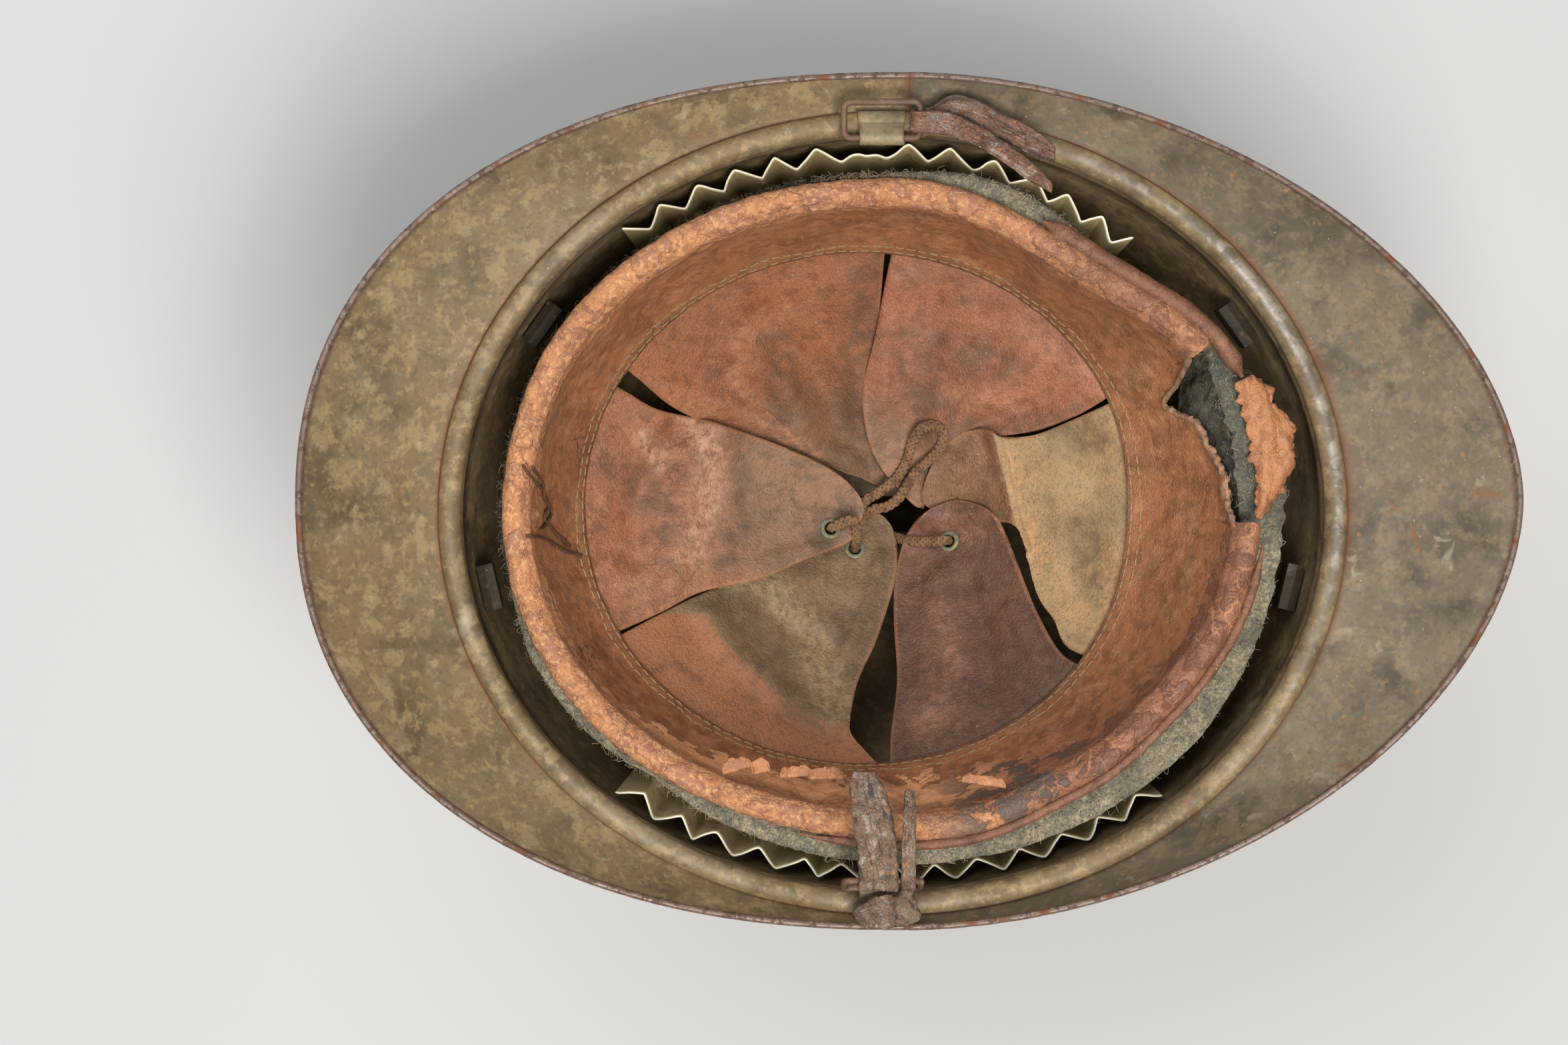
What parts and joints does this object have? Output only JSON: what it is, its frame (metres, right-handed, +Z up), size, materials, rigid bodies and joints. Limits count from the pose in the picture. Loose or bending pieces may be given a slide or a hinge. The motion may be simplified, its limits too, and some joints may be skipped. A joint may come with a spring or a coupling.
{
  "type": "crested steel helmet",
  "caption": "Crested steel combat helmet with visor, neck guard, vented comb, strap loops and a laced leather liner on felt and corrugated spacers.",
  "frame": {"origin": "on the supporting surface under the comb, below the middle of the brims", "axes": "+Z up out of the opening, with the helmet crown down; +X to the front visor; +Y to the wearer's right"},
  "size_m": [0.3038, 0.217, 0.1604],
  "materials": {
    "painted_steel": "worn olive paint with rust freckles",
    "bare_steel": "dull worn steel",
    "rusty_wire": "rusty wire",
    "pale_metal": "dull pale corrugated sheet",
    "brass": "aged, green in places",
    "brown_leather": "worn red-brown",
    "dark_leather": "dark brown with a grey bloom",
    "strap_leather": "cracked and dry",
    "felt": "blue-grey wool",
    "lace": "brown braided lace"
  },
  "bodies": {
    "shell": {"skull": "painted_steel", "front_visor": "painted_steel", "neck_guard": "painted_steel", "comb": "painted_steel", "comb_rivet_1": "bare_steel", "comb_rivet_2": "bare_steel", "comb_rivet_3": "bare_steel", "comb_rivet_4": "bare_steel", "bracket_rivet_right": "bare_steel", "bracket_rivet_left": "bare_steel", "loop_bracket_right": "bare_steel", "loop_bracket_left": "bare_steel", "liner_clip_front_left": "bare_steel", "liner_clip_front_right": "bare_steel", "liner_clip_rear_right": "bare_steel", "liner_clip_rear_left": "bare_steel", "spacer_right": "pale_metal", "spacer_left": "pale_metal", "eyelet_1": "brass", "eyelet_2": "brass", "eyelet_3": "brass", "eyelet_4": "brass", "eyelet_5": "brass", "eyelet_6": "brass", "headband": "brown_leather", "tongue_1": "dark_leather", "tongue_2": "dark_leather", "tongue_3": "dark_leather", "tongue_4": "dark_leather", "tongue_5": "dark_leather", "tongue_6": "dark_leather", "felt_band": "felt", "drawstring": "lace", "rear_seam_thread": "lace"},
    "right_loop": {"strap_loop_right": "rusty_wire"},
    "right_strap": {"strap_end_right": "strap_leather"},
    "left_loop": {"strap_loop_left": "rusty_wire", "strap_flap_left": "strap_leather"},
    "left_strap": {"strap_end_left": "strap_leather"}
  },
  "joints": [
    {"name": "right_loop_swing", "type": "hinge", "parent": "shell", "child": "right_loop", "pos_m": [-0.0067, 0.09178, 0.1417], "axis": [1, 0, 0], "range_deg": [0, 30]},
    {"name": "right_strap_swing", "type": "hinge", "parent": "right_loop", "child": "right_strap", "pos_m": [0.0029, 0.09607, 0.14361], "axis": [0, -0.9135, -0.4067], "range_deg": [0, 110]},
    {"name": "left_loop_swing", "type": "hinge", "parent": "shell", "child": "left_loop", "pos_m": [-0.0067, -0.09778, 0.1417], "axis": [-1, 0, 0], "range_deg": [0, 50]},
    {"name": "left_strap_swing", "type": "hinge", "parent": "left_loop", "child": "left_strap", "pos_m": [-0.0067, -0.09487, 0.15064], "axis": [1, 0, 0], "range_deg": [-10, 110]}
  ]
}
